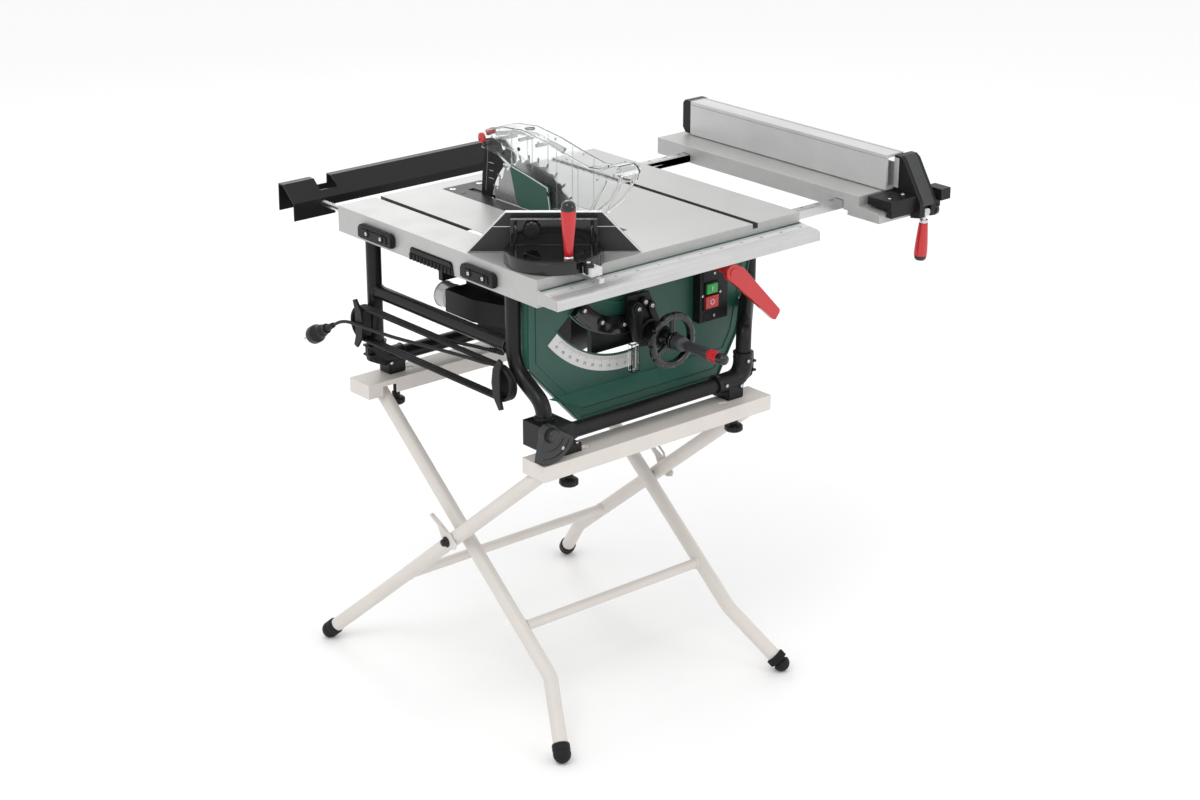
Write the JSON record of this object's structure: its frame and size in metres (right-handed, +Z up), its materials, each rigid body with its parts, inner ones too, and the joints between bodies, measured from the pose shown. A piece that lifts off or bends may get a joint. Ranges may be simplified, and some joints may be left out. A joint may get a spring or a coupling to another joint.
{
  "type": "table saw",
  "caption": "Portable table saw on a folding crossed-leg stand, with mitre gauge, rip fence, clear blade hood, sliding side extension and rear outfeed rest.",
  "frame": {"origin": "on the floor under the middle of the whole outline", "axes": "+X to the operator's right, +Y away from the operator, +Z up"},
  "size_m": [1.0233, 0.94, 1.0358],
  "materials": {
    "table_aluminium": "fine brushed cast aluminium, satin",
    "extruded_aluminium": "satin anodised extrusion",
    "black_steel": "satin black powder coat",
    "black_plastic": "fine-textured black plastic",
    "green_plastic": "fine-textured dark green plastic",
    "greige_steel": "smooth light grey-beige powder coat",
    "red_plastic": "smooth red plastic",
    "green_button": "smooth bright green plastic",
    "bright_steel": "bright ground steel",
    "insert_grey": "dark grey coated plate",
    "clear_plastic": "clear polycarbonate",
    "rubber": "black rubber"
  },
  "bodies": {
    "chassis": {"table_top": "table_aluminium", "table_insert": "insert_grey", "front_rail": "extruded_aluminium", "side_frame_left": "black_steel", "side_frame_right": "black_steel", "lower_tube_front": "black_steel", "lower_tube_rear": "black_steel", "corner_casting_front_left": "black_plastic", "corner_casting_front_right": "black_plastic", "corner_casting_rear_left": "black_plastic", "corner_casting_rear_right": "black_plastic", "front_panel": "green_plastic", "bevel_rack": "black_plastic", "switch_housing": "black_plastic", "cord_hook_front": "black_plastic", "cord_hook_rear": "black_plastic", "cord_gland": "black_plastic", "power_cord_lead": "rubber", "power_cord_winding": "rubber", "power_cord_tail": "rubber", "power_plug": "black_plastic", "stand_beam_front": "greige_steel", "stand_beam_rear": "greige_steel"},
    "front_legs": {"leg_frame_front": "greige_steel", "foot_cap_front_left": "rubber"},
    "rear_legs": {"leg_frame_rear": "greige_steel", "foot_cap_rear_left": "rubber", "foot_cap_rear_right": "rubber"},
    "adjustable_foot": {"levelling_foot_front_right": "rubber"},
    "left_latch": {"crossing_latch_left": "greige_steel"},
    "right_latch": {"crossing_latch_right": "greige_steel"},
    "front_left_knob": {"stand_knob_front_left": "black_plastic"},
    "front_right_knob": {"stand_knob_front_right": "black_plastic"},
    "rear_left_knob": {"stand_knob_rear_left": "black_plastic"},
    "rear_right_knob": {"stand_knob_rear_right": "black_plastic"},
    "corner_foot": {"levelling_foot": "black_plastic"},
    "right_extension_body": {"right_extension": "table_aluminium", "extension_rails": "bright_steel"},
    "fence": {"fence_profile": "extruded_aluminium", "fence_head": "black_plastic"},
    "fence_clamp": {"fence_handle": "red_plastic"},
    "rear_extension_body": {"rear_extension": "black_steel"},
    "mitre_slide": {"mitre_bar": "bright_steel"},
    "mitre_head": {"mitre_protractor": "black_plastic", "mitre_fence": "extruded_aluminium"},
    "mitre_grip": {"mitre_handle": "red_plastic"},
    "tilt_unit": {"tilt_carriage": "black_steel", "lower_blade_cover": "black_plastic"},
    "height_unit": {"motor": "black_steel", "riving_knife": "black_steel"},
    "blade": {"saw_blade": "bright_steel", "arbor_and_nut": "bright_steel"},
    "hood": {"blade_guard": "clear_plastic"},
    "flap": {"guard_flap": "green_plastic"},
    "handwheel": {"tilt_handwheel": "black_plastic"},
    "crank": {"height_crank": "black_plastic"},
    "bevel_clamp": {"bevel_clamp_lever": "black_plastic"},
    "start_push": {"start_button": "green_button"},
    "stop_push": {"stop_button": "red_plastic"},
    "extension_lock": {"table_lock_lever": "red_plastic"}
  },
  "joints": [
    {"name": "front_legs_fold", "type": "hinge", "parent": "chassis", "child": "front_legs", "pos_m": [-0.1903, 0.184, 0.53], "axis": [-1, 0, 0], "range_deg": [0, 30]},
    {"name": "rear_legs_fold", "type": "hinge", "parent": "chassis", "child": "rear_legs", "pos_m": [-0.1903, -0.34, 0.53], "axis": [1, 0, 0], "range_deg": [0, 30]},
    {"name": "adjustable_foot_screw", "type": "slide", "parent": "front_legs", "child": "adjustable_foot", "axis": [0.3513, -0.6446, -0.679], "range_m": [0, 0.012]},
    {"name": "left_latch_pivot", "type": "hinge", "parent": "rear_legs", "child": "left_latch", "pos_m": [-0.4574, -0.078, 0.31556], "axis": [1, 0, 0], "range_deg": [0, 25]},
    {"name": "right_latch_pivot", "type": "hinge", "parent": "rear_legs", "child": "right_latch", "pos_m": [0.0768, -0.078, 0.31556], "axis": [1, 0, 0], "range_deg": [0, 25]},
    {"name": "front_left_knob_turn", "type": "hinge", "parent": "chassis", "child": "front_left_knob", "pos_m": [-0.3823, -0.34, 0.493], "axis": [0, 0, 1], "continuous": true},
    {"name": "front_right_knob_turn", "type": "hinge", "parent": "chassis", "child": "front_right_knob", "pos_m": [0.0167, -0.34, 0.493], "axis": [0, 0, 1], "continuous": true},
    {"name": "rear_left_knob_turn", "type": "hinge", "parent": "chassis", "child": "rear_left_knob", "pos_m": [-0.3773, 0.184, 0.493], "axis": [0, 0, 1], "continuous": true},
    {"name": "rear_right_knob_turn", "type": "hinge", "parent": "chassis", "child": "rear_right_knob", "pos_m": [-0.0013, 0.184, 0.493], "axis": [0, 0, 1], "continuous": true},
    {"name": "corner_foot_turn", "type": "hinge", "parent": "chassis", "child": "corner_foot", "pos_m": [-0.4463, -0.3542, 0.614], "axis": [0, 1, 0], "range_deg": [-45, 45]},
    {"name": "right_extension_slide", "type": "slide", "parent": "chassis", "child": "right_extension_body", "axis": [1, 0, 0], "range_m": [-0.155, 0]},
    {"name": "fence_slide", "type": "slide", "parent": "right_extension_body", "child": "fence", "axis": [1, 0, 0], "range_m": [-0.41, 0.03]},
    {"name": "fence_clamp_lever", "type": "hinge", "parent": "fence", "child": "fence_clamp", "pos_m": [0.4547, -0.394, 0.846], "axis": [-1, 0, 0], "range_deg": [0, 90]},
    {"name": "rear_extension_slide", "type": "slide", "parent": "chassis", "child": "rear_extension_body", "axis": [0, 1, 0], "range_m": [-0.145, 0]},
    {"name": "mitre_gauge_slide", "type": "slide", "parent": "chassis", "child": "mitre_slide", "axis": [0, 1, 0], "range_m": [-0.08, 0.12]},
    {"name": "mitre_swivel", "type": "hinge", "parent": "mitre_slide", "child": "mitre_head", "pos_m": [-0.3458, -0.258, 0.8806], "axis": [0, 0, 1], "range_deg": [-20, 100]},
    {"name": "mitre_handle_turn", "type": "hinge", "parent": "mitre_head", "child": "mitre_grip", "pos_m": [-0.36445, -0.32068, 0.9023], "axis": [0, 0, 1], "continuous": true},
    {"name": "blade_tilt", "type": "hinge", "parent": "chassis", "child": "tilt_unit", "pos_m": [-0.1798, -0.078, 0.88], "axis": [0, 1, 0], "range_deg": [0, 45]},
    {"name": "tilt_handwheel_turn", "type": "hinge", "parent": "tilt_unit", "child": "handwheel", "pos_m": [-0.1403, -0.332, 0.708], "axis": [0, 1, 0], "range_deg": [0, 900]},
    {"name": "blade_height", "type": "slide", "parent": "tilt_unit", "child": "height_unit", "axis": [0, 0, 1], "range_m": [-0.085, 0]},
    {"name": "height_crank_turn", "type": "hinge", "parent": "tilt_unit", "child": "crank", "pos_m": [-0.1403, -0.348, 0.708], "axis": [0, 1, 0], "range_deg": [-1530, 0]},
    {"name": "blade_spin", "type": "hinge", "parent": "height_unit", "child": "blade", "pos_m": [-0.1798, -0.0005, 0.85], "axis": [1, 0, 0], "continuous": true},
    {"name": "hood_lift", "type": "hinge", "parent": "height_unit", "child": "hood", "pos_m": [-0.1798, 0.127, 0.985], "axis": [-1, 0, 0], "range_deg": [0, 38]},
    {"name": "guard_flap_lift", "type": "hinge", "parent": "hood", "child": "flap", "pos_m": [-0.2004, -0.0701, 0.9302], "axis": [1, 0, 0], "range_deg": [0, 35]},
    {"name": "bevel_clamp_turn", "type": "hinge", "parent": "tilt_unit", "child": "bevel_clamp", "pos_m": [-0.1803, -0.277, 0.764], "axis": [0, 1, 0], "range_deg": [0, 45]},
    {"name": "start_button_push", "type": "slide", "parent": "chassis", "child": "start_push", "axis": [0, 1, 0], "range_m": [0, 0.0025], "stiffness_N_per_m": 600},
    {"name": "stop_button_push", "type": "slide", "parent": "chassis", "child": "stop_push", "axis": [0, 1, 0], "range_m": [0, 0.0025], "stiffness_N_per_m": 600},
    {"name": "extension_lock_turn", "type": "hinge", "parent": "chassis", "child": "extension_lock", "pos_m": [-0.0223, -0.367, 0.818], "axis": [0, 1, 0], "range_deg": [0, 60]}
  ],
  "couplings": [
    {"joint": "rear_legs_fold", "follows": "front_legs_fold", "ratio": 1},
    {"joint": "tilt_handwheel_turn", "follows": "blade_tilt", "ratio": 20},
    {"joint": "height_crank_turn", "follows": "blade_height", "rad_per_m": 314.16},
    {"joint": "hood_lift", "follows": "blade_height", "rad_per_m": -7.8}
  ]
}
